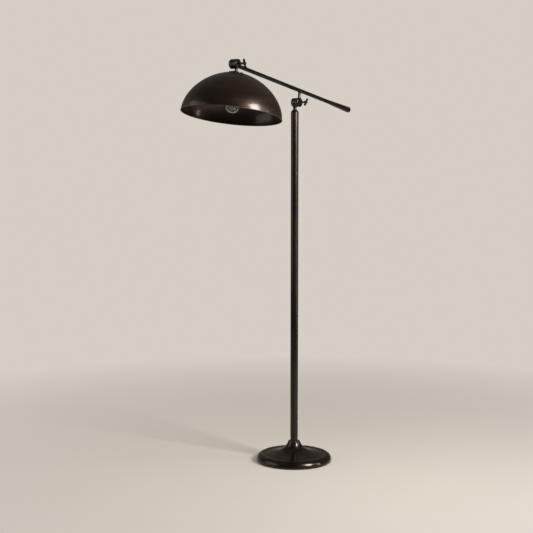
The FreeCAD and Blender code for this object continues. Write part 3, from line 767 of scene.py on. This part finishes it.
class LAMP_OT_holder(bpy.types.Operator):
    """Finish the lamp holder and roll the thread of its screw shell"""

    bl_idname = "lamp.holder"
    bl_label = "Lamp Holder"

    inset = 0.0008          # of the thread's crests from the plain shell's outside
    wall = 0.0005           # of the screw shell
    shallow = 0.7           # its thread's depth, as a share of the bulb's
    flare = 0.0007          # widening of its mouth
    fade = 12.0             # its thread runs out over this part of the height at each end
    rows = 96

    def execute(self, context):
        s = context.scene.lamp_holder
        brass = plain_metal("holder_brass", s.brass, rough=0.28, scale=500.0, worn=0.7)
        dress(brass, "holder_cap", "holder_screw_shell", "holder_centre_contact")
        dress(moulded("phenolic", PHENOLIC, rough=0.36, grain=700.0, depth=0.00003), "holder_body")
        top, low = drop_of("holder_screw_shell")
        outer = widest("holder_screw_shell") - self.inset
        points = []
        for radius in (outer, outer - self.wall):
            points += rolled(radius, top, low, self.rows, s.pitch, s.depth * self.shallow, self.fade,
                             self.flare)
        skin = grid_faces(self.rows, THREAD_COLUMNS)
        offset = self.rows * THREAD_COLUMNS
        faces = skin + [tuple(offset + k for k in reversed(face)) for face in skin]
        for row in (0, self.rows - 1):
            start = row * THREAD_COLUMNS
            ring = []
            for c in range(THREAD_COLUMNS):
                here, beside = start + c, start + (c + 1) % THREAD_COLUMNS
                ring.append((here, beside, offset + beside, offset + here))
            faces += [face if row else face[::-1] for face in ring]
        shell = mesh_piece("screw_shell_thread", points, faces, brass, "shade")
        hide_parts("holder_screw_shell")
        return {"FINISHED"}


class LAMP_OT_bulb(bpy.types.Operator):
    """Finish the bulb and roll its cap's thread"""

    bl_idname = "lamp.bulb"
    bl_label = "Bulb"

    fade = 9.0              # the cap's thread runs out over this part of the height at each end
    rows = 84
    thread_top = 0.004      # the thread starts this far under the solder tip
    # Rings over the thread: radius left of the cap's own, and drop under the tip
    shoulder = ((0.0016, 0.0036), (0.004, 0.0034))
    # Insulator and solder tip: radius, and drop under the tip
    tip = ((0.0058, 0.0016), (0.0048, 0.0009), (0.0026, 0.0002))

    def cap(self, s):
        """Threaded cap from the glass up to the solder tip."""
        top, low = drop_of("bulb_cap")
        radius, columns = widest("bulb_cap"), THREAD_COLUMNS
        metal = plain_metal("bulb_cap_metal", NICKEL, rough=0.3, scale=500.0, worn=0.8)
        points = rolled(radius, top + self.thread_top, low, self.rows, s.pitch, s.depth, self.fade)
        faces = grid_faces(self.rows, columns)
        last = 0
        for r, drop in [(radius - step, drop) for step, drop in self.shoulder] + list(self.tip):
            first = len(points)
            points += [shade_point(r, 2 * math.pi * c / columns, top + drop) for c in range(columns)]
            faces += [(last + (c + 1) % columns, last + c, first + c, first + (c + 1) % columns)
                      for c in range(columns)]
            last = first
        faces.append(tuple(last + c for c in reversed(range(columns))))
        foot = (self.rows - 1) * columns
        faces.append(tuple(foot + c for c in range(columns)))
        piece = mesh_piece("bulb_cap_thread", points, faces, metal, "shade")
        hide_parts("bulb_cap")

    def clear_glass(self, s):
        """Blown glass with slow waves and a little dust."""
        t = Tree("clear_glass")
        waves = t.noise(t.place(), 45.0, 2.0)
        dust = t.noise(t.place(), 600.0, 3.0)
        tint = t.ramp(dust, (0.4, s.glass_tint), (0.9, scaled(s.glass_tint, 0.93)))
        return t.shade(tint, 0.0, t.fit(dust, 0.4, 0.8, 0.0, 0.05), t.bump(waves, 0.0002, 0.3),
                       **{"Transmission Weight": 1.0, "IOR": 1.46})

    def stem_glass(self):
        """Pressed glass of the stem, milky where it was melted."""
        t = Tree("stem_glass")
        haze = t.noise(t.place(), 260.0, 3.0)
        tint = t.ramp(haze, (0.35, STEM_CLEAR), (0.8, STEM_MILKY))
        return t.shade(tint, 0.0, t.fit(haze, 0.3, 0.8, 0.08, 0.3), t.bump(haze, 0.0002, 0.4),
                       **{"Transmission Weight": 0.85, "IOR": 1.5})

    def filament(self, s):
        """Coated rod with a fine grain."""
        t = Tree("filament")
        grain = t.noise(t.place(), 1800.0, 2.0)
        tone = t.ramp(grain, (0.35, scaled(s.filament, 0.55)), (0.7, s.filament))
        return t.shade(tone, 0.0, 0.5, t.bump(grain, 0.0001, 0.6))

    def execute(self, context):
        s = context.scene.lamp_holder
        self.cap(s)
        dress(self.clear_glass(s), "bulb_glass")
        dress(self.stem_glass(), "bulb_mount")
        dress(self.filament(s), "bulb_filaments")
        return {"FINISHED"}


class LAMP_OT_stage(bpy.types.Operator):
    """Set the floor, the backdrop, the lights and the camera"""

    bl_idname = "lamp.stage"
    bl_label = "Stage"

    # The backdrop's even glow: distances from the lamp where it starts and is full, and its least
    glow_from, glow_full, glow_least = 0.5, 2.6, 0.22
    # Places of the lights: to the right of the lamp, ahead of it and above the floor, as seen
    key_place, key_size, key_spread = (2.3, -2.0, 2.3), (1.1, 1.5), 110
    fill_place, fill_size = (-3.0, -0.6, 1.6), (2.4, 2.4)
    edge_place, edge_size = (2.9, -0.5, 1.1), (0.3, 1.9)
    aim = Vector((-0.25, 0.0, 1.1))
    edge_aim = Vector((0.0, 0.0, 1.0))
    key_tone, side_tone, sky_tone = (1.0, 0.975, 0.94), (1.0, 0.97, 0.93), (1.0, 0.95, 0.89)

    def plaster(self, s):
        """Pale plaster that takes the shadow near the lamp and glows evenly farther out."""
        t = Tree("pale_plaster")
        where = t.place()
        broad = t.noise(where, 1.4, 4.0)
        tone = t.ramp(broad, (0.3, scaled(s.floor, 0.97)), (0.7, s.floor))
        material = t.shade(tone, 0.0, 0.75)
        glow = t.add("Emission", Color=(*s.wall, 1.0), Strength=1.0)
        ray = t.add("LightPath").outputs
        seen = t.math("ADD", ray["Is Camera Ray"], ray["Is Transmission Ray"], clamp=True)
        rise = t.fit(t.polar(where)[0], self.glow_from, self.glow_full, self.glow_least, 1.0)
        blend = t.add("MixShader")
        t.links.new(t.math("MULTIPLY", seen, rise), blend.inputs[0])
        t.links.new(t.out.inputs["Surface"].links[0].from_socket, blend.inputs[1])
        t.links.new(glow.outputs[0], blend.inputs[2])
        t.links.new(blend.outputs[0], t.out.inputs["Surface"])
        return material

    def backdrop(self, s):
        """Round floor that bends up into a wall."""
        profile, steps = [(s.radius - s.cove, 0.0)], 12
        for k in range(1, steps + 1):
            a = math.radians(90 * k / steps)
            profile.append((s.radius - s.cove + s.cove * math.sin(a), s.cove - s.cove * math.cos(a)))
        profile.append((s.radius, s.height))
        columns, points = 96, []
        for r, z in profile:
            points += [(r * math.cos(2 * math.pi * c / columns), r * math.sin(2 * math.pi * c / columns), z)
                       for c in range(columns)]
        faces = grid_faces(len(profile), columns)
        faces.append(tuple(range(columns)))
        mesh = bpy.data.meshes.new("stage_floor")
        mesh.from_pydata(points, [], faces)
        for face in mesh.polygons:
            face.use_smooth = len(face.vertices) == 4
        mesh.materials.append(self.plaster(s))
        floor = bpy.data.objects.new("stage_floor", mesh)
        bpy.context.collection.objects.link(floor)

    def light(self, name, place, target, size, power, tone, spread=180):
        """Soft rectangular light that faces its target."""
        light = bpy.data.lights.new(name, "AREA")
        light.shape = "RECTANGLE"
        light.size, light.size_y = size
        light.energy = power
        light.spread = math.radians(spread)
        light.color = tone
        piece = bpy.data.objects.new(name, light)
        piece.location = place
        piece.rotation_euler = (target - place).to_track_quat("-Z", "Y").to_euler()
        bpy.context.collection.objects.link(piece)

    def camera(self, s):
        """Camera at the photograph's place and angle."""
        lens = bpy.data.cameras.new("camera")
        lens.sensor_width = s.sensor
        lens.lens = s.lens
        camera = bpy.data.objects.new("camera", lens)
        camera.location = s.place
        camera.rotation_euler = (math.radians(90) - s.pitch, 0.0, s.turn)
        bpy.context.collection.objects.link(camera)
        bpy.context.scene.camera = camera

    def execute(self, context):
        s, c = context.scene.lamp_stage, context.scene.lamp_camera
        self.backdrop(s)
        self.camera(c)
        seen = Matrix.Rotation(c.turn, 3, "Z")
        self.light("key_light", seen @ Vector(self.key_place), self.aim, self.key_size, s.key,
                   self.key_tone, self.key_spread)
        self.light("fill_light", seen @ Vector(self.fill_place), self.aim, self.fill_size, s.fill,
                   self.side_tone)
        self.light("edge_light", seen @ Vector(self.edge_place), self.edge_aim, self.edge_size, s.edge,
                   self.side_tone)
        world = bpy.data.worlds.new("studio")
        world.use_nodes = True
        back = world.node_tree.nodes["Background"]
        back.inputs["Color"].default_value = (*self.sky_tone, 1.0)
        back.inputs["Strength"].default_value = s.sky
        context.scene.world = world
        context.scene.view_settings.view_transform = "Standard"
        return {"FINISHED"}


PIECES = (LAMP_OT_base, LAMP_OT_pole, LAMP_OT_knuckles, LAMP_OT_arm, LAMP_OT_wing_screws, LAMP_OT_shade,
          LAMP_OT_holder, LAMP_OT_bulb, LAMP_OT_stage)
GROUPS = {"lamp_bronze": BronzeSettings, "lamp_holder": HolderSettings, "lamp_stage": StageSettings,
          "lamp_camera": CameraSettings}


class LAMP_PT_panel(bpy.types.Panel):
    """Sidebar list of the lamp's operators and settings"""

    bl_idname = "LAMP_PT_panel"
    bl_label = "Floor Lamp"
    bl_space_type = "VIEW_3D"
    bl_region_type = "UI"
    bl_category = "Floor Lamp"

    def draw(self, context):
        for piece in PIECES:
            self.layout.operator(piece.bl_idname)
        for name, group in GROUPS.items():
            box = self.layout.box()
            for key in group.__annotations__:
                box.prop(getattr(context.scene, name), key)


def register():
    for group in GROUPS.values():
        bpy.utils.register_class(group)
    for name, group in GROUPS.items():
        setattr(bpy.types.Scene, name, PointerProperty(type=group))
    for piece in PIECES:
        bpy.utils.register_class(piece)
    bpy.utils.register_class(LAMP_PT_panel)


def unregister():
    bpy.utils.unregister_class(LAMP_PT_panel)
    for piece in reversed(PIECES):
        bpy.utils.unregister_class(piece)
    for name in GROUPS:
        delattr(bpy.types.Scene, name)
    for group in reversed(list(GROUPS.values())):
        bpy.utils.unregister_class(group)


def main():
    register()
    for piece in PIECES:
        group, name = piece.bl_idname.split(".")
        getattr(getattr(bpy.ops, group), name)()


if __name__ == "__main__":
    main()
